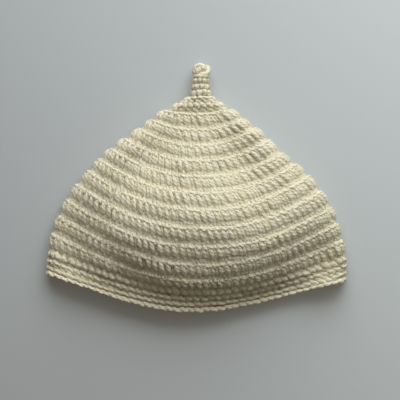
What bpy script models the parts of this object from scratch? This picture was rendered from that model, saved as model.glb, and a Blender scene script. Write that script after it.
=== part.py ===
"""Crochet baby hat with a stalk at the tip, lying flat on its back as it would be put down on a table.

The hat is worked from the tip down, and levels count its rounds. Level 0 is the foot of the stalk, levels
0 to 12 are the tall rounds of the crown, 12 to 15 the short rounds of the brim, and 15 to 15.5 the edging.
Seen from above, +X is to the right, +Y points to the stalk, -Y to the head opening, and +Z is up.
Sizes are in millimetres up to the last step, which puts the origin under the middle of the hat.
"""

import math
from collections import namedtuple

import bmesh
import bpy
from mathutils import Vector

MM = 0.001

FABRIC = 4.4  # thickness of the crocheted wall
GAP = 0.45  # between pieces that follow each other

TIP_LEVEL = 0.0
INNER_TIP_LEVEL = 0.45  # the tip is solid down to here, where the first stitches are drawn tight
CROWN_END = 12.0
BRIM_END = 15.0
HAT_END = 15.5

TALL_GROOVE = 1.1  # depth of the groove between two tall rounds
SHORT_GROOVE = 0.6
TURN_STEPS = 56  # corners of every ring around the hat

# The edging's free side: (share of its width along the fabric, share of the fabric's thickness) pairs.
EDGING_OUTLINE = [(0.5, 0.0), (0.85, 0.1), (1, 0.35), (1, 0.7), (0.85, 0.88), (0.6, 0.94)]

STEM_LENGTH = 13.0
STEM_FOOT_RADIUS = 7.3
STEM_TOP_RADIUS = 5.9
STEM_ROUNDS = 4
STEM_GROOVE = 0.6
STEM_DROOP = 1.2  # how far the free end sinks towards the table
STEM_LEAN = 0.8  # how far it leans to the right
KNOT_LENGTH = 9.8
KNOT_RADIUS = 5.9
KNOT_NECK_RADIUS = 4.2
ROUND_STEPS = 16  # corners around the stalk and its knob

CREAM = (0.80, 0.74, 0.58, 1.0)  # one wool yarn all over
CREAM_TIGHT = (0.76, 0.70, 0.54, 1.0)  # the same yarn where it is worked tighter and shades itself
YARN_ROUGHNESS = 0.9

# Each section is the outer face at one level: where its left and right folds lie, how far its front and back
# layers sag towards the opening in the middle, how high the front layer stands there, and the folds' radius.
# pinch is how far the corners lie flat beside the puffed middle, from 0 to 1.
Section = namedtuple(
    "Section", "level left_x left_y right_x right_y front_y front_z back_y fold_radius pinch"
)
SECTIONS = [
    Section(0.0, -7.7, 0.0, 7.7, 0.0, 0.0, 15.4, 0.0, 7.7, 0.0),
    Section(1.0, -25.1, -9.1, 22.0, -8.7, -12.2, 19.0, -11.8, 7.2, 0.0),
    Section(3.0, -42.9, -21.6, 38.4, -21.3, -34.2, 27.0, -33.5, 6.8, 0.0),
    Section(5.0, -62.5, -35.6, 56.5, -38.7, -55.5, 34.0, -54.5, 6.5, 0.0),
    Section(7.0, -78.5, -51.0, 75.0, -54.8, -78.5, 38.8, -77.0, 6.3, 0.05),
    Section(9.0, -93.9, -71.2, 91.1, -76.8, -104.0, 40.0, -101.5, 6.2, 0.12),
    Section(11.0, -104.4, -94.9, 99.8, -99.8, -128.1, 35.8, -125.0, 6.2, 0.22),
    Section(12.0, -106.4, -108.2, 101.9, -112.6, -136.1, 29.0, -133.0, 6.2, 0.28),
    Section(14.0, -107.5, -119.0, 102.3, -123.1, -145.7, 22.8, -142.0, 6.0, 0.35),
    Section(15.5, -106.1, -124.9, 100.5, -128.8, -150.1, 17.3, -146.5, 6.0, 0.38),
]
SAG_POWER = 2.2  # how square the sag of a round is across the hat
PUFF_PINCH = 0.2  # how much more the height is pinched than the sag

# Soft dents of the front layer. side is -1 at the left fold and 1 at the right one, spreads are in levels and
# in sides, and slant is how far a dent moves sideways with each level.
Dent = namedtuple("Dent", "level side depth level_spread side_spread slant")
DENTS = [
    Dent(10.7, -0.54, 3.2, 1.8, 0.17, 0.13),
    Dent(11.2, 0.62, 2.6, 1.6, 0.16, -0.05),
    Dent(7.0, -0.66, 1.5, 1.8, 0.16, 0.0),
    Dent(11.2, 0.12, 1.1, 1.4, 0.18, 0.04),
]


def eased(sections, column, level):
    """The named column at a level, on a smooth curve through the sections."""
    last = len(sections) - 2
    i = min(max(sum(s.level <= level for s in sections) - 1, 0), last)

    def slope(k):
        a, b = max(k - 1, 0), min(k + 1, last + 1)
        rise = getattr(sections[b], column) - getattr(sections[a], column)
        return rise / (sections[b].level - sections[a].level)

    start, end = sections[i], sections[i + 1]
    span = end.level - start.level
    t = (level - start.level) / span
    return (
        (1 + 2 * t) * (1 - t) ** 2 * getattr(start, column)
        + t * (1 - t) ** 2 * span * slope(i)
        + t * t * (3 - 2 * t) * getattr(end, column)
        + t * t * (t - 1) * span * slope(i + 1)
    )


def swell(side, pinch):
    """1 in the middle of the hat and 0 at its folds."""
    return (1 - pinch) * (1 - abs(side) ** SAG_POWER) + pinch * (1 + math.cos(math.pi * side)) / 2


def dent_depth(level, side):
    depth = 0.0
    for dent in DENTS:
        along = (level - dent.level) / dent.level_spread
        across = (side - dent.side - dent.slant * (level - dent.level)) / dent.side_spread
        depth += dent.depth * math.exp(-along * along - across * across)
    return depth


def outer_point(level, turn):
    """A point of the outer face. Turn 0 is the right fold, a quarter turn the front, a half the left fold."""
    row = {c: eased(SECTIONS, c, level) for c in Section._fields[1:]}
    centre_x = (row["left_x"] + row["right_x"]) / 2
    half_width = (row["right_x"] - row["left_x"]) / 2
    side = math.cos(turn)
    on_front = math.sin(turn) >= 0

    fold_y = row["left_y"] + (row["right_y"] - row["left_y"]) * (side + 1) / 2
    middle_y = row["front_y"] if on_front else row["back_y"]
    sag = (row["left_y"] + row["right_y"]) / 2 - middle_y

    radius = row["fold_radius"]
    inside = min(half_width * (1 - abs(side)), radius)
    lift = math.sqrt(max(2 * radius * inside - inside * inside, 0.0))
    height = radius - lift
    if on_front:
        puff = max(row["front_z"] - 2 * radius, 0.0)
        bell = swell(side, min(row["pinch"] + PUFF_PINCH, 1.0))
        height = radius + lift + puff * bell - dent_depth(level, side) * min(bell * 2, 1)
    return Vector((centre_x + half_width * side, fold_y - sag * swell(side, row["pinch"]), height))


def directions(level, turn):
    """Where the outer face points at a level and turn: around the hat, and outwards."""
    step_level, step_turn = 0.02, 0.004
    down = outer_point(min(level + step_level, HAT_END), turn) - outer_point(max(level - step_level, 0), turn)
    around = outer_point(level, turn + step_turn) - outer_point(level, turn - step_turn)
    return around.normalized(), around.cross(down).normalized()


def fabric_point(level, turn, depth=0.0):
    """A point depth below the outer face."""
    return outer_point(level, turn) - directions(level, turn)[1] * depth


def next_piece_point(level, turn, depth):
    """Where the next piece starts, a small gap further down the hat than the end of the one before."""
    around, outward = directions(level, turn)
    return fabric_point(level, turn, depth) + outward.cross(around) * GAP


def groove_depth(level, turn):
    """How far the outer face sinks between two rounds, except underneath, where the hat is pressed flat."""
    along = level % 1.0
    amount = TALL_GROOVE if level < CROWN_END else SHORT_GROOVE
    swelling = math.sin(math.pi * along) ** 0.5
    lifted = min((directions(level, turn)[1].z + 1) / 0.3, 1.0)
    return amount * (1 - swelling) * lifted


def turns():
    return [math.tau * k / TURN_STEPS for k in range(TURN_STEPS)]


def add_ring(mesh, place, level, depth):
    """A ring of points around the hat. place turns level, turn and depth into a point, and depth may vary."""
    depths = [depth(level, turn) if callable(depth) else depth for turn in turns()]
    return [mesh.verts.new(place(level, turn, below)) for turn, below in zip(turns(), depths)]


def bridge_rings(mesh, rings):
    """Faces between each ring and the one after it.

    They are triangles, so that the facing ends of two pieces are split along the same diagonals and the gap
    between them stays even.
    """
    for first, second in zip(rings, rings[1:]):
        for k in range(TURN_STEPS):
            mesh.faces.new((first[k - 1], first[k], second[k - 1]))
            mesh.faces.new((first[k], second[k], second[k - 1]))


def yarn_material(name, colour):
    material = bpy.data.materials.new(name)
    material.use_nodes = True
    shader = material.node_tree.nodes["Principled BSDF"]
    shader.inputs["Base Color"].default_value = colour
    shader.inputs["Roughness"].default_value = YARN_ROUGHNESS
    shader.inputs["Metallic"].default_value = 0.0
    return material


def finish_object(name, mesh, colour, smooth_angle=50):
    """The mesh as a named object with its own material, shaded smooth."""
    bmesh.ops.recalc_face_normals(mesh, faces=mesh.faces)
    data = bpy.data.meshes.new(name)
    mesh.to_mesh(data)
    mesh.free()
    data.shade_smooth()
    data.set_sharp_from_angle(angle=math.radians(smooth_angle))
    data.materials.append(yarn_material(name + "_yarn", colour))
    made = bpy.data.objects.new(name, data)
    bpy.context.scene.collection.objects.link(made)
    return made


def levels_between(start, end, per_round):
    """Levels from start to end, per_round to each round, with both ends."""
    between = [k / per_round for k in range(round(HAT_END) * per_round + 1)]
    return [start] + [v for v in between if start + 0.1 < v < end - 0.1] + [end]


def make_crown():
    """The hollow wall of tall rounds, with a solid tip that the stalk stands on."""
    mesh = bmesh.new()
    outer_levels = levels_between(TIP_LEVEL, CROWN_END, 3)
    inner_levels = levels_between(INNER_TIP_LEVEL, CROWN_END, 1)
    tip = add_ring(mesh, fabric_point, TIP_LEVEL, 0.0)
    outside = [add_ring(mesh, fabric_point, level, groove_depth) for level in outer_levels[1:]]
    inside = [add_ring(mesh, fabric_point, level, FABRIC) for level in reversed(inner_levels)]
    bridge_rings(mesh, [tip] + outside + inside)
    mesh.faces.new(tip)
    cap_ring(mesh, inside[-1])
    return finish_object("crown", mesh, CREAM)


def cap_ring(mesh, ring):
    """Closes a ring that isn't flat with a fan from its middle."""
    middle = mesh.verts.new(sum((v.co for v in ring), Vector()) / len(ring))
    for k in range(len(ring)):
        mesh.faces.new((ring[k - 1], ring[k], middle))


def make_brim_band():
    """Three short rounds, open at both ends."""
    mesh = bmesh.new()
    outer_levels = levels_between(CROWN_END, BRIM_END, 2)
    inner_levels = levels_between(CROWN_END, BRIM_END, 1)
    inside = [add_ring(mesh, next_piece_point, CROWN_END, FABRIC)]
    inside += [add_ring(mesh, fabric_point, level, FABRIC) for level in inner_levels[1:]]
    outside = [add_ring(mesh, fabric_point, level, groove_depth) for level in reversed(outer_levels[1:])]
    outside.append(add_ring(mesh, next_piece_point, CROWN_END, groove_depth))
    bridge_rings(mesh, inside + outside + inside[:1])
    return finish_object("brim_band", mesh, CREAM)


def make_edging():
    """The last round, a rounded cord around the rim."""
    mesh = bmesh.new()
    rings = [add_ring(mesh, next_piece_point, BRIM_END, groove_depth)]
    for along, deep in EDGING_OUTLINE:
        level = BRIM_END + (HAT_END - BRIM_END) * along
        rings.append(add_ring(mesh, fabric_point, level, FABRIC * deep))
    rings.append(add_ring(mesh, next_piece_point, BRIM_END, FABRIC))
    bridge_rings(mesh, rings + rings[:1])
    return finish_object("brim_edging", mesh, CREAM_TIGHT)


def make_turned(name, profile, colour):
    """A closed piece turned about +Y from (y, radius) pairs and bent onto the stalk's line."""
    mesh = bmesh.new()
    verts = [mesh.verts.new((radius, y, 0.0)) for y, radius in profile]
    edges = [mesh.edges.new(pair) for pair in zip(verts, verts[1:])]
    once = {"axis": (0, 1, 0), "cent": (0, 0, 0), "angle": math.tau, "steps": ROUND_STEPS}
    bmesh.ops.spin(mesh, geom=verts + edges, use_merge=True, **once)
    bmesh.ops.remove_doubles(mesh, verts=mesh.verts, dist=0.001)
    foot_height = SECTIONS[0].fold_radius
    full_length = STEM_LENGTH + KNOT_LENGTH
    for v in mesh.verts:
        share = min(max(v.co.y / full_length, 0.0), 1.0)
        v.co.z += foot_height - STEM_DROOP * share
        v.co.x += STEM_LEAN * share
    return finish_object(name, mesh, colour)


def make_stem():
    """Four short rounds, one above the other, narrowing towards the knob."""
    steps = STEM_ROUNDS * 3
    profile = [(GAP, 0.0)]
    for k in range(steps + 1):
        share = k / steps
        radius = STEM_FOOT_RADIUS + (STEM_TOP_RADIUS - STEM_FOOT_RADIUS) * math.sqrt(share)
        swelling = abs(math.sin(math.pi * share * STEM_ROUNDS)) ** 0.5
        profile.append((GAP + (STEM_LENGTH - GAP) * share, radius - STEM_GROOVE * (1 - swelling)))
    profile.append((STEM_LENGTH, 0.0))
    return make_turned("stem", profile, CREAM_TIGHT)


def make_knot():
    """The end of the stalk, drawn together into a knob."""
    steps = 8
    neck = 0.14  # the share of a ball that the neck cuts off
    foot = STEM_LENGTH + GAP
    profile = [(foot, 0.0), (foot, KNOT_NECK_RADIUS)]
    for k in range(1, steps):
        bow = math.pi * (neck + (1 - neck) * k / steps)
        y = foot + KNOT_LENGTH * (1 - math.cos(bow)) / 2
        profile.append((y, KNOT_RADIUS * math.sin(bow) ** 0.7))
    profile.append((foot + KNOT_LENGTH, 0.0))
    return make_turned("stem_knot", profile, CREAM_TIGHT)


def put_on_origin(objects):
    """Turns millimetres into metres, with the origin on the table under the middle of the whole hat."""
    points = [v.co for o in objects for v in o.data.vertices]
    low, high = (Vector([pick(p[i] for p in points) for i in range(3)]) for pick in (min, max))
    shift = Vector(((low.x + high.x) / 2, (low.y + high.y) / 2, low.z))
    for made in objects:
        for v in made.data.vertices:
            v.co = (v.co - shift) * MM


def main():
    for old in list(bpy.data.objects):
        bpy.data.objects.remove(old, do_unlink=True)
    put_on_origin([make_crown(), make_brim_band(), make_edging(), make_stem(), make_knot()])


main()
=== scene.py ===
import math

import bpy
import numpy as np
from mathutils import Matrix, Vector


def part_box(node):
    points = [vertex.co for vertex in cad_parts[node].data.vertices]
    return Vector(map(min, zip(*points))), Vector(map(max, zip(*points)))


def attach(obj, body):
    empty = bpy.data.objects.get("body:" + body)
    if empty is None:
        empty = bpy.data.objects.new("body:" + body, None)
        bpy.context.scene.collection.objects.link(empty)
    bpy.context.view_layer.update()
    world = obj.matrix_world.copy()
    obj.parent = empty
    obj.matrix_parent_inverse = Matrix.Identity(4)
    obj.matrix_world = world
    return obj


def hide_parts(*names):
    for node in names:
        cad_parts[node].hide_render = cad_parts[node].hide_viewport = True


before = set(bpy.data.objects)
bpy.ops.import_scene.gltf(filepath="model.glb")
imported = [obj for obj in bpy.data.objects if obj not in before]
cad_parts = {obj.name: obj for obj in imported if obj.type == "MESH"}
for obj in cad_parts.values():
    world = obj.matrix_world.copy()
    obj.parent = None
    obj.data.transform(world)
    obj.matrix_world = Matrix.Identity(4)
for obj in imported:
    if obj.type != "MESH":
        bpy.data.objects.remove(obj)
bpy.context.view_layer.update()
mm = 0.001
tau = 2 * math.pi


# Colours and small helpers

def linearColour(hexColour):  # "e8dfc4" -> linear red, green, blue, alpha
    parts = [int(hexColour[i:i + 2], 16) / 255 for i in (0, 2, 4)]
    return [c / 12.92 if c <= 0.04045 else ((c + 0.055) / 1.055) ** 2.4 for c in parts] + [1.0]


def addNode(tree, kind, settings=None, inputs=None):
    # inputs maps a socket's name or number to a value or to another node's output
    node = tree.nodes.new(kind)
    for name, value in (settings or {}).items():
        setattr(node, name, value)
    for socket, value in (inputs or {}).items():
        if isinstance(value, bpy.types.NodeSocket):
            tree.links.new(value, node.inputs[socket])
        else:
            node.inputs[socket].default_value = value
    return node


def newMaterial(name):
    material = bpy.data.materials.new(name)
    material.use_nodes = True
    material.node_tree.nodes.clear()
    return material, material.node_tree


# The shape of the hat: one row for each section, its level counted in rounds from the tip, the rest in mm
# from the foot of the stalk. Left and right are the folds, frontY and backY how far each layer sags to the
# opening, frontZ how high the front is, and pinch (a share) how much of the sag comes in the middle.
sectionNames = (
    "level", "leftX", "leftY", "rightX", "rightY", "frontY", "frontZ", "backY", "foldRadius", "pinch",
)
sectionRows = [
    (0.0, -7.7, 0.0, 7.7, 0.0, 0.0, 15.4, 0.0, 7.7, 0.0),
    (1.0, -25.1, -9.1, 22.0, -8.7, -12.2, 19.0, -11.8, 7.2, 0.0),
    (3.0, -42.9, -21.6, 39.1, -21.3, -34.2, 27.0, -33.5, 6.8, 0.0),
    (5.0, -62.5, -35.6, 57.4, -38.7, -55.5, 34.0, -54.5, 6.5, 0.0),
    (7.0, -78.5, -51.0, 75.9, -54.8, -78.5, 38.8, -77.0, 6.3, 0.05),
    (9.0, -93.9, -71.2, 91.6, -76.8, -104.0, 40.0, -101.5, 6.2, 0.12),
    (11.0, -104.4, -94.9, 99.8, -99.8, -128.1, 35.8, -125.0, 6.2, 0.22),
    (12.0, -106.4, -108.2, 101.9, -112.6, -136.1, 29.0, -133.0, 6.2, 0.28),
    (13.0, -107.1, -113.2, 102.3, -117.4, -140.6, 25.2, -137.5, 6.1, 0.32),
    (14.0, -107.5, -118.3, 102.4, -122.4, -145.0, 21.6, -141.8, 6.0, 0.35),
    (15.0, -106.6, -122.5, 101.3, -127.0, -148.8, 18.5, -145.2, 6.0, 0.37),
    (15.5, -105.2, -124.1, 100.5, -128.8, -149.9, 17.6, -145.6, 6.0, 0.38),
]
# Dents in the front; side runs from -1 at the left fold to 1 at the right one
dentNames = ("level", "side", "depth", "levelSpread", "sideSpread", "slant")
dentRows = [
    (10.7, -0.54, 3.2, 1.8, 0.17, 0.13),
    (11.2, 0.62, 2.6, 1.6, 0.16, -0.05),
    (7.0, -0.66, 1.5, 1.8, 0.16, 0.0),
    (11.2, 0.12, 1.1, 1.4, 0.18, 0.04),
]
# Where the soft front lies higher or lower than the smooth puff, heights in mm. The rows were typed by hand,
# but to follow a surface that a scratch program had fitted to the light and shade of the photo.
restNames = ("level", "side", "height", "levelSpread", "sideSpread")
restRows = [
    (2.2, -0.1, -2.6, 1.5, 0.45),
    (4.4, -0.92, 5.2, 2.2, 0.22),
    (4.4, -0.5, -4.0, 1.8, 0.28),
    (4.4, 0.45, -3.6, 1.8, 0.3),
    (4.0, 0.9, 4.2, 2.4, 0.24),
    (7.7, 0.15, 4.5, 1.7, 1.3),
    (9.6, -0.52, 3.2, 1.2, 0.26),
    (9.6, 0.5, 4.0, 1.2, 0.32),
    (10.8, -0.92, -3.6, 1.8, 0.2),
    (11.6, 0.9, -5.0, 1.5, 0.22),
    (12.7, -0.35, -4.9, 1.8, 0.58),
    (13.8, 0.47, -7.4, 2.2, 0.42),
    (14.8, -0.85, 2.4, 1.1, 0.25),
    (14.9, 0.95, 7.0, 1.2, 0.16),
]
hatShape = {
    "sections": {name: np.array(column, float) for name, column in zip(sectionNames, zip(*sectionRows))},
    "dents": [dict(zip(dentNames, row)) for row in dentRows],
    "rests": [dict(zip(restNames, row)) for row in restRows],
    # past this level the brim keeps its height, and near a fold the rest fades out over this share
    "restEnd": 14.8,
    "restFade": 0.15,
    # the brim is drawn up a little right of the middle
    "drawnUp": 2.4,
    "drawnSide": 0.42,
    "drawnSpread": 0.4,
    "sagPower": 2.2,
    "puffPinch": 0.2,
    "crownEnd": 12,
    "brimEnd": 15,
    "hatEnd": 15.5,
    "stalkGap": 0.45,
    "levelSteps": 310,
    "turnSteps": 720,
}


def eased(name, levels):  # a section's column on a smooth curve
    knots, values = hatShape["sections"]["level"], hatShape["sections"][name]
    ends = np.arange(len(knots))
    before, after = np.maximum(ends - 1, 0), np.minimum(ends + 1, len(knots) - 1)
    slopes = (values[after] - values[before]) / (knots[after] - knots[before])
    i = np.clip(np.searchsorted(knots, levels, side="right") - 1, 0, len(knots) - 2)
    span = knots[i + 1] - knots[i]
    t = (levels - knots[i]) / span
    start = (1 + 2 * t) * (1 - t) ** 2 * values[i] + t * (1 - t) ** 2 * span * slopes[i]
    return start + t * t * (3 - 2 * t) * values[i + 1] + t * t * (t - 1) * span * slopes[i + 1]


def swell(side, pinch):  # 1 in the middle of the hat, 0 at the folds
    return (1 - pinch) * (1 - np.abs(side) ** hatShape["sagPower"]) + pinch * (1 + np.cos(np.pi * side)) / 2


def dentDepth(levels, side):  # how deep all the dents are at each place
    dented = 0
    for dent in hatShape["dents"]:
        past = levels[:, None] - dent["level"]
        across = (side - dent["side"] - dent["slant"] * past) / dent["sideSpread"]
        dented = dented + dent["depth"] * np.exp(-(past / dent["levelSpread"]) ** 2 - across ** 2)
    return dented


def restHeight(levels, side):  # how much higher the soft front lies than its smooth puff
    rest = 0
    reached = np.minimum(levels, hatShape["restEnd"])[:, None]
    for spot in hatShape["rests"]:
        along = (reached - spot["level"]) / spot["levelSpread"]
        across = (side - spot["side"]) / spot["sideSpread"]
        rest = rest + spot["height"] * np.exp(-along ** 2 - across ** 2)
    return rest * np.clip((1 - np.abs(side)) / hatShape["restFade"], 0, 1)


def drawnIn(levels, side):  # how far the brim is drawn up towards the crown
    inBrim = (levels[:, None] - hatShape["crownEnd"]) / (hatShape["hatEnd"] - hatShape["crownEnd"])
    across = (side - hatShape["drawnSide"]) / hatShape["drawnSpread"]
    return np.clip(inBrim, 0, 1) * hatShape["drawnUp"] * np.exp(-across ** 2)


def outerFace(levels, turns):  # a row of points for each level
    row = {name: eased(name, levels)[:, None] for name in sectionNames[1:]}
    side, onFront = np.cos(turns)[None, :], np.sin(turns)[None, :] >= 0
    centreX, halfWidth = (row["leftX"] + row["rightX"]) / 2, (row["rightX"] - row["leftX"]) / 2
    foldY = row["leftY"] + (row["rightY"] - row["leftY"]) * (side + 1) / 2
    sag = (row["leftY"] + row["rightY"]) / 2 - np.where(onFront, row["frontY"], row["backY"])
    radius = row["foldRadius"]
    inside = np.minimum(halfWidth * (1 - np.abs(side)), radius)
    lift = np.sqrt(np.maximum(2 * radius * inside - inside ** 2, 0))
    bell = swell(side, np.minimum(row["pinch"] + hatShape["puffPinch"], 1))
    dented = dentDepth(levels, side) * np.minimum(bell * 2, 1)
    puff = np.maximum(row["frontZ"] - 2 * radius, 0) * bell - dented
    height = np.where(onFront, radius + lift + puff + restHeight(levels, side), radius - lift)
    reach = foldY + drawnIn(levels, side) - sag * swell(side, row["pinch"])
    return np.stack([centreX + halfWidth * side, reach, height], axis=2)


# A surface to work stitches on: points and outward directions for each level, evenly spaced around it

def workingSurface(levels, ringPoints, steps):
    along = np.gradient(ringPoints, axis=0)
    around = np.roll(ringPoints, -1, axis=1) - np.roll(ringPoints, 1, axis=1)
    outward = np.cross(around, along)
    outward /= np.linalg.norm(outward, axis=2, keepdims=True)
    points = np.empty((len(levels), steps + 1, 3))
    normals = np.empty_like(points)
    lengths = np.empty(len(levels))
    even = np.linspace(0, 1, steps + 1)
    for i in range(len(levels)):
        ring = np.vstack([ringPoints[i], ringPoints[i, :1]])
        facing = np.vstack([outward[i], outward[i, :1]])
        reach = np.concatenate([[0], np.cumsum(np.linalg.norm(np.diff(ring, axis=0), axis=1))])
        lengths[i] = reach[-1]
        for axis in range(3):
            points[i, :, axis] = np.interp(even * reach[-1], reach, ring[:, axis])
            normals[i, :, axis] = np.interp(even * reach[-1], reach, facing[:, axis])
    return {"levels": levels, "points": points, "normals": normals, "lengths": lengths, "steps": steps}


def place(surface, level, share, height):  # share: how far around, 0 to 1; height: mm above the surface
    levels, steps = surface["levels"], surface["steps"]
    row = (level - levels[0]) / (levels[1] - levels[0])
    i = np.clip(np.floor(row).astype(int), 0, len(levels) - 2)
    column = (share % 1.0) * steps
    j = np.clip(np.floor(column).astype(int), 0, steps - 1)
    v, u = (row - i)[:, None], (column - j)[:, None]
    mixed = []
    for grid in (surface["points"], surface["normals"]):
        upper = grid[i, j] * (1 - u) + grid[i, j + 1] * u
        lower = grid[i + 1, j] * (1 - u) + grid[i + 1, j + 1] * u
        mixed.append(upper * (1 - v) + lower * v)
    point, normal = mixed
    return point + normal / np.linalg.norm(normal, axis=1, keepdims=True) * height[:, None]


def roundLength(surface, level):
    return float(np.interp(level, surface["levels"], surface["lengths"]))


levelsDown = np.linspace(0, hatShape["hatEnd"], hatShape["levelSteps"] + 1)
turnsRound = np.arange(hatShape["turnSteps"]) * tau / hatShape["turnSteps"]
hatSurface = workingSurface(levelsDown, outerFace(levelsDown, turnsRound), hatShape["turnSteps"])

# Where the CAD parts lie: the brim is centred as its node is, and the stalk's foot stands a gap off the tip
brimLow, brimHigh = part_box("brim_band")
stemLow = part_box("stem")[0]
brimX = hatSurface["points"][levelsDown >= hatShape["crownEnd"]][:, :, 0]
toFrame = np.array([
    (brimLow.x + brimHigh.x) / 2 / mm - (brimX.min() + brimX.max()) / 2,
    stemLow.y / mm - hatShape["stalkGap"],
    0.0,
])
print("hat surface ready, frame shift", toFrame.round(2))


# The yarn and how evenly it is worked, in mm
yarn = {
    "thickness": 2.5,
    "pitch": 5.1,
    "fewest": 7,
    "looseness": 0.16,
    "unevenWidth": 0.05,
    # the work turns slacker and tighter in waves around a round
    "slackWaves": (2, 5, 9),
    "slackShare": 0.6,
    # each stitch starts somewhere else along the yarn, up to this far
    "yarnShift": 40,
    # how deep the face lies from the top of a round to its foot, as shares of the round and of the roll
    "rollShares": [0.0, 0.04, 0.1, 0.18, 0.42, 0.7, 0.9, 1.0],
    "rollDepths": [0.62, 0.3, 0.08, 0.0, 0.14, 0.46, 0.9, 1.05],
    # strands as deep as rollFrom stay where they are, and those rollSpan higher take the whole roll
    "rollFrom": -4.4,
    "rollSpan": 2.4,
    # no point of the hat lies lower than this
    "tableGap": 0.02,
    "seed": 11,
}

# Stitches are modelled flat, in mm: x across, y down the round from 0, z out of the fabric. Each strand is a
# list of (x, y, z, width of the yarn there as a share). countAt is where in a round its stitches are counted.
tallStitch = {
    "height": 12.2,
    "roll": 1.9,
    "countAt": 0.6,
    "strands": [
        [(-1.0, 0.5, -2.9, 0.9), (0.7, -0.2, -1.25, 1.2), (2.5, -1.5, -1.35, 1.25), (3.7, -2.8, -2.7, 0.9)],
        [(1.6, 0.5, -2.8, 0.9), (3.3, -0.2, -1.6, 1.1), (5.0, -1.5, -1.7, 1.1), (6.1, -2.6, -2.8, 0.9)],
        [(0.0, -1.1, -2.3, 1.0), (1.1, -3.5, -1.25, 1.4), (2.4, -7.4, -1.25, 1.5), (3.4, -10.8, -2.6, 1.0)],
        [(2.8, -1.4, -2.6, 1.0), (3.9, -4.0, -2.05, 1.15), (5.0, -7.6, -2.05, 1.2), (6.0, -10.8, -2.9, 1.0)],
        [(1.6, -8.6, -2.9, 1.1), (2.3, -10.2, -2.0, 1.45), (2.9, -11.7, -2.0, 1.5), (3.3, -13.0, -3.0, 1.1)],
        [(-0.9, -8.6, -2.9, 1.1), (-0.3, -10.2, -2.1, 1.45), (0.4, -11.7, -2.1, 1.5), (0.8, -13.0, -3.1, 1.1)],
    ],
    # how far each strand sinks or rises where the work is slacker or tighter
    "slack": [0.0, 0.0, -0.15, 0.4, 0.1, 0.1],
    "insideStrands": [
        [(-0.9, -0.5, -3.0, 0.8), (2.5, -0.2, -3.9, 0.95), (6.0, -0.6, -3.0, 0.8)],
        [(0.6, -1.2, -3.0, 0.8), (1.6, -4.0, -3.6, 0.85), (2.8, -7.6, -3.6, 0.85), (3.8, -11.4, -3.0, 0.8)],
        [(4.6, -1.2, -3.0, 0.8), (4.2, -4.4, -3.5, 0.85), (4.6, -8.2, -3.5, 0.85), (5.2, -11.6, -3.0, 0.8)],
    ],
}
shortStitch = {
    "height": 5.3,
    "roll": 1.2,
    "countAt": 0.5,
    "strands": [
        [(-1.2, 0.1, -2.4, 1.0), (0.7, -0.4, -1.2, 1.35), (2.9, -1.3, -1.1, 1.4), (5.1, -2.5, -2.4, 1.0)],
        [(-0.4, -2.6, -2.9, 0.9), (1.0, -3.4, -2.0, 1.2), (2.6, -4.1, -1.95, 1.2), (4.2, -5.2, -2.9, 0.9)],
    ],
    "insideStrands": [
        [(-0.9, -0.5, -3.0, 0.8), (2.5, -0.2, -3.9, 0.9), (6.0, -0.6, -3.0, 0.8)],
        [(1.0, -1.2, -3.0, 0.8), (2.6, -2.8, -3.6, 0.85), (4.0, -4.6, -3.0, 0.8)],
    ],
}
edgeStitch = {
    "height": 5.3,
    "roll": 0.0,
    "strands": [
        [(-1.8, 0.0, -1.8, 1.3), (0.2, -0.8, -0.2, 1.75), (2.5, -1.9, 0.1, 1.9), (4.8, -3.1, -1.5, 1.4)],
        [(-1.4, -1.8, -2.6, 1.1), (1.6, -2.6, -3.4, 1.4), (5.0, -2.0, -2.6, 1.1)],
    ],
}


def modelStrand(points, sides, fineness):
    bpy.ops.curve.primitive_bezier_curve_add()
    strand = bpy.context.object
    line = strand.data
    spots = line.splines[0].bezier_points
    spots.add(len(points) - 2)
    for spot, (x, y, z, width) in zip(spots, points):
        spot.co = (x, y, z)
        spot.radius = width
        spot.handle_left_type = spot.handle_right_type = "AUTO"
    line.dimensions = "3D"
    line.twist_mode = "MINIMUM"
    line.resolution_u = fineness
    line.bevel_depth = yarn["thickness"] / 2
    line.bevel_resolution = (sides - 4) // 2
    line.use_fill_caps = True
    length = line.splines[0].calc_length()
    bpy.ops.object.convert(target="MESH")
    bpy.ops.object.mode_set(mode="EDIT")
    bpy.ops.mesh.select_all(action="SELECT")
    bpy.ops.mesh.remove_doubles(threshold=0.01)
    bpy.ops.mesh.quads_convert_to_tris()
    bpy.ops.object.mode_set(mode="OBJECT")
    for corner in strand.data.uv_layers[0].data:
        corner.uv.x *= length  # along the yarn in mm, around it 0 to 1
    return strand


def modelStitch(strands, sides=6, fineness=2, slack=None):
    # the flat stitch as arrays of points, triangles and texture coordinates
    bpy.ops.object.select_all(action="DESELECT")
    made = [modelStrand(points, sides, fineness) for points in strands]
    sizes = [len(strand.data.vertices) for strand in made]
    for strand in made:
        strand.select_set(True)
    bpy.context.view_layer.objects.active = made[0]
    bpy.ops.object.join()
    mesh = bpy.context.object.data
    points = np.empty(len(mesh.vertices) * 3)
    mesh.vertices.foreach_get("co", points)
    corners = np.empty(len(mesh.loops), dtype=np.int64)
    mesh.loops.foreach_get("vertex_index", corners)
    mapped = np.empty(len(mesh.loops) * 2)
    mesh.uv_layers[0].data.foreach_get("uv", mapped)
    bpy.ops.object.delete()
    return {
        "points": points.reshape(-1, 3), "corners": corners, "mapped": mapped.reshape(-1, 2),
        "strand": np.repeat(np.arange(len(sizes)), sizes), "strands": len(sizes), "slack": slack,
    }


def rollDepth(level, roll):  # how far in the rounded face of a round lies, in mm
    return np.interp(level % 1.0, yarn["rollShares"], yarn["rollDepths"]) * roll


def stitchCount(surface, level):
    return max(yarn["fewest"], int(round(roundLength(surface, level) / yarn["pitch"])))


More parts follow.
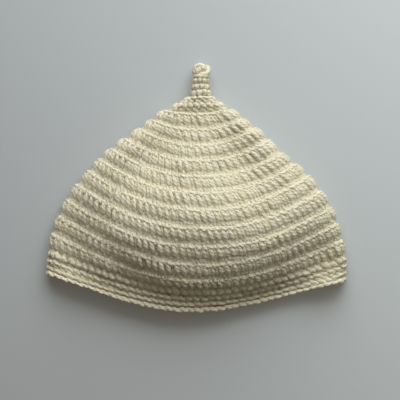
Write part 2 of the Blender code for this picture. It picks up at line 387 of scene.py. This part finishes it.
def workRound(surface, model, stitch, start, count, rng, shift=0.0):
    # count copies of the modelled stitch around one round; returns points, corners, mapped, tone
    points, loose, strand = model["points"], yarn["looseness"], model["strand"]
    nudge = rng.normal(0, loose, (count, 1, 3))
    nudge = nudge + rng.normal(0, loose, (count, model["strands"], 3))[:, strand]
    widths = 1 + rng.normal(0, yarn["unevenWidth"], (count, 1))
    x = points[None, :, 0] * widths + nudge[..., 0]
    y = points[None, :, 1] + nudge[..., 1]
    z = points[None, :, 2] + nudge[..., 2]
    if model["slack"]:
        turn = np.arange(count)[:, None] / count * tau
        waves = sum(np.sin(turn * wave + rng.uniform(0, tau)) for wave in yarn["slackWaves"])
        z = z + waves * yarn["slackShare"] * np.array(model["slack"])[strand][None, :]
    cell = np.arange(count)[:, None] + shift
    share = -(cell + x / yarn["pitch"]) / count
    level = start - y / stitch["height"]
    z = z - rollDepth(level, stitch["roll"]) * np.clip((z - yarn["rollFrom"]) / yarn["rollSpan"], 0, 1)
    placed = place(surface, level.ravel(), share.ravel(), z.ravel())
    corners = (model["corners"][None, :] + len(points) * np.arange(count)[:, None]).ravel()
    mapped = np.tile(model["mapped"], (count, 1, 1)) + rng.uniform(0, yarn["yarnShift"], (count, 1, 2))
    tone = np.repeat(rng.uniform(0, 1, count), len(points))
    return placed, corners, mapped.reshape(-1, 2), tone


def buildPiece(name, parts, material, nodes):
    # joins worked rounds into one mesh, in metres in the frame, kept above what the hat lies on
    points, corners, mapped, tone, offset = [], [], [], [], 0
    for placed, loops, coordinates, tones in parts:
        points.append(placed)
        corners.append(loops + offset)
        mapped.append(coordinates)
        tone.append(tones)
        offset += len(placed)
    points = (np.concatenate(points) + toFrame) * mm
    points[:, 2] = np.maximum(points[:, 2], yarn["tableGap"] * mm)
    corners, mapped, tone = np.concatenate(corners), np.concatenate(mapped), np.concatenate(tone)
    mesh = bpy.data.meshes.new(name)
    mesh.vertices.add(len(points))
    mesh.vertices.foreach_set("co", points.ravel())
    mesh.loops.add(len(corners))
    mesh.loops.foreach_set("vertex_index", corners.astype(np.int32))
    mesh.polygons.add(len(corners) // 3)
    mesh.polygons.foreach_set("loop_start", np.arange(0, len(corners), 3, dtype=np.int32))
    mesh.update(calc_edges=True)
    mesh.shade_smooth()
    mesh.uv_layers.new(name="yarn").data.foreach_set("uv", mapped.ravel())
    mesh.attributes.new("tone", "FLOAT", "POINT").data.foreach_set("value", tone)
    mesh.materials.append(material)
    piece = bpy.data.objects.new(name, mesh)
    bpy.context.scene.collection.objects.link(piece)
    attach(piece, "root")
    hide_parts(*nodes)
    print(name, len(corners) // 3, "triangles")


# Cream wool: a soft three-ply yarn, spun and plied, matt, with a faint sheen of fibres that catches light at
# the edges. Small tufts of fibres roughen it.
# The colour is painted darker, as shade, in the grooves between the plies and the hollows between the tufts
wool = {
    "colour": "dfdbc5",
    "shadeColour": "cfbe8c",
    "plies": 3,
    "layMm": 7.0,
    "plyDepthMm": 0.21,
    "plyCrest": 0.6,
    "tuftMm": 1.0,
    "tuftDepthMm": 0.45,
    "tuftDetail": 3.0,
    "patchMm": 9.0,
    "patchDetail": 2.0,
    # how far each of these moves the colour towards the shade colour, and where the sum starts. The stitch and
    # patch terms are random tone; the ply and tuft terms are painted shade, darker in the ply grooves and
    # between the tufts and lighter on their crests
    "shadeShares": {"stitch": 0.22, "patch": 0.5, "tuftHollowShade": -1.6, "plyReliefAndShade": -0.3},
    "shadeStart": 0.7,
    "roughness": 0.88,
    "sheen": 0.3,
    "sheenRoughness": 0.5,
    "specular": 0.3,
}


def creamWool():
    material, tree = newMaterial("cream_wool_yarn")
    mapped = addNode(tree, "ShaderNodeUVMap", {"uv_map": "yarn"})
    split = addNode(tree, "ShaderNodeSeparateXYZ", inputs={0: mapped.outputs[0]})
    turned = addNode(
        tree, "ShaderNodeMath", {"operation": "MULTIPLY"}, {0: split.outputs[1], 1: tau * wool["plies"]},
    )
    laid = addNode(
        tree, "ShaderNodeMath", {"operation": "MULTIPLY_ADD"},
        {0: split.outputs[0], 1: tau * wool["plies"] / wool["layMm"], 2: turned.outputs[0]},
    )
    wave = addNode(tree, "ShaderNodeMath", {"operation": "SINE"}, {0: laid.outputs[0]})
    plyReliefAndShade = addNode(
        tree, "ShaderNodeMapRange", {"interpolation_type": "SMOOTHSTEP"},
        {0: wave.outputs[0], 1: -1.0, 2: wool["plyCrest"]},
    )
    where = addNode(tree, "ShaderNodeTexCoord")
    tuftScale, patchScale = 1 / (wool["tuftMm"] * mm), 1 / (wool["patchMm"] * mm)
    tufts = addNode(
        tree, "ShaderNodeTexNoise", {},
        {"Vector": where.outputs["Object"], "Scale": tuftScale, "Detail": wool["tuftDetail"]},
    )
    patches = addNode(
        tree, "ShaderNodeTexNoise", {},
        {"Vector": where.outputs["Object"], "Scale": patchScale, "Detail": wool["patchDetail"]},
    )
    tone = addNode(tree, "ShaderNodeAttribute", {"attribute_name": "tone"})
    # the ply and tuft sources paint shade: darker in the ply grooves and between the tufts, lighter on their
    # crests
    sources = {
        "stitch": tone.outputs["Fac"], "patch": patches.outputs[0], "tuftHollowShade": tufts.outputs[0],
        "plyReliefAndShade": plyReliefAndShade.outputs[0],
    }
    shade = wool["shadeStart"]
    for name, source in sources.items():
        summed = addNode(
            tree, "ShaderNodeMath", {"operation": "MULTIPLY_ADD"},
            {0: source, 1: wool["shadeShares"][name], 2: shade},
        )
        shade = summed.outputs[0]
    colour = addNode(
        tree, "ShaderNodeMix", {"data_type": "RGBA"},
        {0: shade, 6: linearColour(wool["colour"]), 7: linearColour(wool["shadeColour"])},
    )
    plyBump = addNode(
        tree, "ShaderNodeBump", {},
        {"Height": plyReliefAndShade.outputs[0], "Distance": wool["plyDepthMm"] * mm, "Strength": 1.0},
    )
    tuftBump = addNode(
        tree, "ShaderNodeBump", {},
        {
            "Height": tufts.outputs[0], "Distance": wool["tuftDepthMm"] * mm, "Strength": 1.0,
            "Normal": plyBump.outputs[0],
        },
    )
    shader = addNode(
        tree, "ShaderNodeBsdfPrincipled", {},
        {
            "Base Color": colour.outputs[2], "Roughness": wool["roughness"], "Normal": tuftBump.outputs[0],
            "Sheen Weight": wool["sheen"], "Sheen Roughness": wool["sheenRoughness"],
            "Specular IOR Level": wool["specular"],
        },
    )
    addNode(tree, "ShaderNodeOutputMaterial", {}, {0: shader.outputs[0]})
    return material


woolYarn = creamWool()
rng = np.random.default_rng(yarn["seed"])
tall = modelStitch(tallStitch["strands"], slack=tallStitch["slack"])
tallInside = modelStitch(tallStitch["insideStrands"], fineness=1)
short = modelStitch(shortStitch["strands"])
shortInside = modelStitch(shortStitch["insideStrands"], fineness=1)
edge = modelStitch(edgeStitch["strands"])
print("stitches modelled")

# The crown, worked from the tip down, where it is drawn tight: two rows of loops show there and no posts
tipRows = {"levels": (0.0, 0.5), "countAt": 0.25}
for number in range(hatShape["crownEnd"]):
    count = stitchCount(hatSurface, number + tallStitch["countAt"])
    offset = rng.uniform()
    worked = [workRound(hatSurface, tallInside, tallStitch, number, count, rng, offset)]
    if number:
        worked.append(workRound(hatSurface, tall, tallStitch, number, count, rng, offset))
    else:
        for level in tipRows["levels"]:
            count = stitchCount(hatSurface, level + tipRows["countAt"])
            worked.append(workRound(hatSurface, short, tallStitch, level, count, rng, offset))
    buildPiece("crown_round_%02d" % (number + 1), worked, woolYarn, ["crown"])

# The brim and its edging
for number in range(hatShape["crownEnd"], hatShape["brimEnd"]):
    count = stitchCount(hatSurface, number + shortStitch["countAt"])
    offset = rng.uniform()
    worked = []
    for model in (short, shortInside):
        worked.append(workRound(hatSurface, model, shortStitch, number, count, rng, offset))
    name = "brim_round_%02d" % (number + 1 - hatShape["crownEnd"])
    buildPiece(name, worked, woolYarn, ["brim_band"])
edgeLevel = hatShape["brimEnd"]
worked = [workRound(hatSurface, edge, edgeStitch, edgeLevel, stitchCount(hatSurface, edgeLevel), rng)]
buildPiece("brim_edging_cord", worked, woolYarn, ["brim_edging"])

# The felted middle of the fabric, a thin closed wall behind the strands, in mm under the surface
crownWall = {"levelStep": 0.2, "around": 170, "outer": 2.5, "inner": 3.3, "roll": tallStitch["roll"]}
brimWall = {"levelStep": 0.4, "around": 170, "outer": 2.5, "inner": 3.3, "roll": 0.0}
stalkWall = {"levelStep": 0.25, "around": 32, "outer": 2.6, "inner": 4.6, "roll": 0.0}
felt = {
    # how much of a round's roll the two faces of the wall follow
    "outerRoll": 0.7,
    "innerRoll": 0.3,
    # the yarn's coordinates around the wall and from row to row
    "mapAround": 400,
    "mapRow": 1.5,
    "tipLevel": 0.02,
    "rimLevel": 15.25,
    "tone": 0.5,
}


def coreWall(surface, fromLevel, toLevel, wall):
    around, roll = wall["around"], wall["roll"]
    rows = max(2, int(round((toLevel - fromLevel) / wall["levelStep"])))
    levels = np.linspace(fromLevel, toLevel, rows + 1)
    loops = [(level, wall["outer"] + rollDepth(level, roll) * felt["outerRoll"]) for level in levels]
    loops += [(level, wall["inner"] + rollDepth(level, roll) * felt["innerRoll"]) for level in levels[::-1]]
    share = -np.arange(around) / around
    rings = [place(surface, np.full(around, level), share, np.full(around, -depth)) for level, depth in loops]
    corners, mapped = [], []
    acrossCell, downCell = felt["mapAround"] / around, felt["mapRow"]
    for row in range(len(loops)):
        nextRow = (row + 1) % len(loops)
        for column in range(around):
            nextColumn = (column + 1) % around
            a, b = row * around + column, row * around + nextColumn
            c, d = nextRow * around + nextColumn, nextRow * around + column
            corners += [a, d, b, b, d, c]
            u, v = column / around * felt["mapAround"], row * downCell
            mapped += [(u, v), (u, v + downCell), (u + acrossCell, v)]
            mapped += [(u + acrossCell, v), (u, v + downCell), (u + acrossCell, v + downCell)]
    grid = np.concatenate(rings)
    return grid, np.array(corners), np.array(mapped, float), np.full(len(grid), felt["tone"])


wall = coreWall(hatSurface, felt["tipLevel"], hatShape["crownEnd"], crownWall)
buildPiece("crown_core", [wall], woolYarn, ["crown"])
wall = coreWall(hatSurface, hatShape["crownEnd"], felt["rimLevel"], brimWall)
buildPiece("brim_core", [wall], woolYarn, ["brim_band"])

# The halo of loose fibres: lengths in mm, and how high the root, middle and tip of a fibre stand
halo = {
    "shortest": 1.4,
    "longest": 4.2,
    "thickness": 0.07,
    "curl": 0.7,
    "rootRise": (-1.6, -0.5),
    "middleRise": (0.0, 0.6),
    "tipRise": (-0.5, 1.3),
    "deepestTone": 0.4,
    "crownCount": 42000,
    "brimCount": 9000,
    "stalkCount": 500,
    "tipLevel": 0.1,
    "rimLevel": 15.4,
}


def haloFibres(surface, fromLevel, toLevel, stitch, count, rng):
    # loose ends of wool standing off the yarn: each one is a curved sliver of three triangles
    knots = np.linspace(fromLevel, toLevel, 60)
    reach = np.cumsum([roundLength(surface, level) for level in knots])
    level = np.interp(rng.uniform(reach[0], reach[-1], count), reach, knots)
    around = np.interp(level, surface["levels"], surface["lengths"])
    share, turn = rng.uniform(0, 1, count), rng.uniform(0, tau, count)
    length = rng.uniform(halo["shortest"], halo["longest"], count)
    bend = turn + rng.normal(0, halo["curl"], count)
    sunk = rollDepth(level, stitch["roll"])
    stations = []
    for along, heading, rises in (
        (0.0, turn, halo["rootRise"]), (0.5, turn, halo["middleRise"]), (1.0, bend, halo["tipRise"]),
    ):
        step = along * length
        levels = level + np.sin(heading) * step / stitch["height"]
        levels = np.clip(levels, surface["levels"][0], surface["levels"][-1])
        rise = rng.uniform(*rises, count)
        stations.append(place(surface, levels, share + np.cos(heading) * step / around, rise - sunk))
    foot, middle, tip = stations
    across = np.cross(tip - foot, rng.normal(0, 1, (count, 3)))
    across *= halo["thickness"] / 2 / np.linalg.norm(across, axis=1, keepdims=True)
    slivers = np.stack([foot - across, foot + across, middle - across, middle + across, tip], axis=1)
    corners = (np.array([0, 1, 3, 0, 3, 2, 2, 3, 4])[None, :] + 5 * np.arange(count)[:, None]).ravel()
    tone = np.repeat(rng.uniform(0, halo["deepestTone"], count), 5)
    return slivers.reshape(-1, 3), corners, np.zeros((len(corners), 2)), tone


fibres = haloFibres(hatSurface, halo["tipLevel"], hatShape["crownEnd"], tallStitch, halo["crownCount"], rng)
buildPiece("crown_halo", [fibres], woolYarn, ["crown"])
fibres = haloFibres(hatSurface, hatShape["crownEnd"], halo["rimLevel"], shortStitch, halo["brimCount"], rng)
buildPiece("brim_halo", [fibres], woolYarn, ["brim_band", "brim_edging"])

# The stalk: short rounds about a straight line that droops a little, in mm
stalk = {
    "length": 13.0,
    "knotLength": 9.8,
    "footRadius": 7.9,
    "topRadius": 6.1,
    "taper": 0.7,
    "endGap": 0.4,
    "middleHeight": 7.7,
    "droop": 1.2,
    "lean": 0.8,
    "rounds": 3,
    "around": 9,
    "levelSteps": 40,
    "turnSteps": 96,
}
stalkStitch = {
    "height": stalk["length"] / stalk["rounds"],
    "roll": 0.6,
    "strands": [
        [
            (-0.3, -1.0, -3.3, 1.2), (1.2, -1.5, -2.5, 1.4), (2.55, -2.9, -1.7, 1.6), (3.9, -1.5, -2.5, 1.4),
            (5.4, -1.0, -3.3, 1.2),
        ],
    ],
}


def onStalk(points):  # bends points of a straight stalk onto its real line
    part = np.clip(points[..., 1] / (stalk["length"] + stalk["knotLength"]), 0, 1)
    bent = points.copy()
    bent[..., 0] += stalk["lean"] * part
    bent[..., 2] += stalk["middleHeight"] - stalk["droop"] * part
    return bent


stalkLevels = np.linspace(0, stalk["rounds"], stalk["levelSteps"] + 1)
stalkTurns = np.arange(stalk["turnSteps"]) * tau / stalk["turnSteps"]
upStalk = stalkLevels / stalk["rounds"]
radii = stalk["footRadius"] + (stalk["topRadius"] - stalk["footRadius"]) * upStalk ** stalk["taper"]
stations = hatShape["stalkGap"] + upStalk * (stalk["length"] - stalk["endGap"])
ring = np.stack([
    np.cos(stalkTurns)[None, :] * radii[:, None],
    np.repeat(stations[:, None], stalk["turnSteps"], axis=1),
    np.sin(stalkTurns)[None, :] * radii[:, None],
], axis=2)
# The stalk grows away from the hat, so its levels run from the knob down to the foot
stalkSurface = workingSurface(stalkLevels, onStalk(ring)[::-1], stalk["turnSteps"])
stalkLoop = modelStitch(stalkStitch["strands"], sides=8, fineness=3)
worked = [
    workRound(stalkSurface, stalkLoop, stalkStitch, number, stalk["around"], rng, number / 2)
    for number in range(stalk["rounds"])
]
buildPiece("stem_rounds", worked, woolYarn, ["stem"])
wall = coreWall(stalkSurface, 0.0, stalk["rounds"], stalkWall)
buildPiece("stem_core", [wall], woolYarn, ["stem"])
fibres = haloFibres(stalkSurface, 0.0, stalk["rounds"], stalkStitch, halo["stalkCount"], rng)
buildPiece("stem_halo", [fibres], woolYarn, ["stem"])

# The knob: fat strands drawn together over the end, in mm from the stalk's end
knob = {
    "strands": [
        [(0, -0.8, 0, 2.8), (0, 2.6, 0.3, 3.3), (0, 5.2, 0, 2.6)],
        [
            (-4.0, 0.2, 0.8, 1.3), (-4.4, 4.2, 1.8, 1.5), (-2.9, 7.0, 2.4, 1.5), (-0.2, 7.2, 3.2, 1.6),
            (1.2, 5.2, 3.6, 1.5), (1.0, 2.8, 2.4, 1.2),
        ],
        [(-3.0, 1.0, 2.4, 1.2), (-2.2, 3.4, 3.5, 1.7), (-0.8, 5.6, 3.3, 1.5), (0.4, 6.8, 2.0, 1.1)],
        [
            (3.0, 7.0, -1.0, 1.2), (4.4, 6.0, 0.6, 1.35), (4.6, 3.6, 2.0, 1.35), (3.2, 1.8, 3.4, 1.35),
            (0.4, 1.4, 4.0, 1.3), (-2.4, 1.0, 2.6, 1.0),
        ],
        [
            (4.6, -0.4, 0.4, 1.0), (3.4, 0.2, 3.2, 1.2), (0.0, 0.0, 4.3, 1.3), (-3.2, 0.2, 3.2, 1.2),
            (-4.5, -0.4, 0.6, 1.0),
        ],
        [
            (-3.8, 0.2, -1.8, 1.3), (-3.8, 4.2, -1.6, 1.5), (-0.8, 7.0, -1.4, 1.5), (2.8, 6.2, -1.4, 1.5),
            (4.2, 3.0, -2.2, 1.4), (3.4, -0.4, -2.0, 1.1),
        ],
        [(-1.6, -0.6, -3.6, 1.2), (-1.0, 2.8, -4.2, 1.4), (0.8, 5.2, -3.4, 1.3), (1.8, 6.6, -1.6, 1.1)],
    ],
    "tone": 0.4,
}
knobModel = modelStitch(knob["strands"], sides=10, fineness=4)
knobPoints = onStalk(knobModel["points"] + np.array([0, stalk["length"] + hatShape["stalkGap"], 0]))
knobPart = (knobPoints, knobModel["corners"], knobModel["mapped"], np.full(len(knobPoints), knob["tone"]))
buildPiece("stem_knob", [knobPart], woolYarn, ["stem_knot"])

# The plain pale surface under the hat: matt painted card, its colour darker to the left as painted shade,
# where the lamps' light falls off
table = {
    "shadedLeftColour": "a5adb2",
    "litRightColour": "bcc6ca",
    "paintedFalloffMm": 280.0,
    "roughness": 0.9,
    "size": 6.0,
    # a faint glow stands for light that the room throws back
    "bounce": 0.08,
    "bounceColour": "d0c8b8",
}


def greyBoard():
    material, tree = newMaterial("pale_grey_board")
    where = addNode(tree, "ShaderNodeTexCoord")
    split = addNode(tree, "ShaderNodeSeparateXYZ", inputs={0: where.outputs["Object"]})
    half = table["paintedFalloffMm"] / 2 * mm
    # the colour runs from painted shade at the left to the lit colour at the right over this width
    paintedFalloff = addNode(tree, "ShaderNodeMapRange", {}, {0: split.outputs[0], 1: -half, 2: half})
    colour = addNode(
        tree, "ShaderNodeMix", {"data_type": "RGBA"},
        {0: paintedFalloff.outputs[0], 6: linearColour(table["shadedLeftColour"]), 7: linearColour(table["litRightColour"])},
    )
    shader = addNode(
        tree, "ShaderNodeBsdfPrincipled", {},
        {
            "Base Color": colour.outputs[2], "Roughness": table["roughness"],
            "Emission Color": linearColour(table["bounceColour"]), "Emission Strength": table["bounce"],
        },
    )
    addNode(tree, "ShaderNodeOutputMaterial", {}, {0: shader.outputs[0]})
    return material


bpy.ops.mesh.primitive_plane_add(size=table["size"])
floor = bpy.context.object
floor.name = "floor"
floor.data.materials.append(greyBoard())
print("table laid")

# Camera straight above, framed as the photo is: width and distance in metres, the centre in mm
photoView = {"width": 0.2792, "centre": (-0.35, -72.6), "planeHeight": 0.006, "distance": 1.1, "sensor": 36.0}
cameraData = bpy.data.cameras.new("camera")
cameraData.sensor_width = photoView["sensor"]
cameraData.lens = photoView["sensor"] * photoView["distance"] / photoView["width"]
camera = bpy.data.objects.new("camera", cameraData)
centre = (np.array([*photoView["centre"], 0.0]) + toFrame) * mm
camera.location = (centre[0], centre[1], photoView["planeHeight"] + photoView["distance"])
bpy.context.scene.collection.objects.link(camera)
bpy.context.scene.camera = camera

# Soft daylight low from the peak's side, with weak light from two walls: azimuth, elevation, watts
light = {
    "distance": 0.9,
    "size": 1.1,
    "lamps": [(81, 31, 12.6), (40, 55, 2.0), (200, 40, 0.5)],
    "fill": 0.066,
    "fillColour": "ffd998",
}
for number, (azimuth, elevation, power) in enumerate(light["lamps"]):
    lampData = bpy.data.lights.new("window_light_%d" % number, "AREA")
    lampData.size = light["size"]
    lampData.energy = power
    lamp = bpy.data.objects.new("window_light_%d" % number, lampData)
    azimuth, elevation = math.radians(azimuth), math.radians(elevation)
    flat = math.cos(elevation)
    direction = Vector((math.cos(azimuth) * flat, math.sin(azimuth) * flat, math.sin(elevation)))
    lamp.location = direction * light["distance"]
    lamp.rotation_euler = direction.to_track_quat("Z", "Y").to_euler()
    bpy.context.scene.collection.objects.link(lamp)

world = bpy.data.worlds.new("soft_room")
world.use_nodes = True
world.node_tree.nodes["Background"].inputs[0].default_value = linearColour(light["fillColour"])
world.node_tree.nodes["Background"].inputs[1].default_value = light["fill"]
bpy.context.scene.world = world
bpy.context.scene.view_settings.view_transform = "Standard"
print("camera and lights placed")
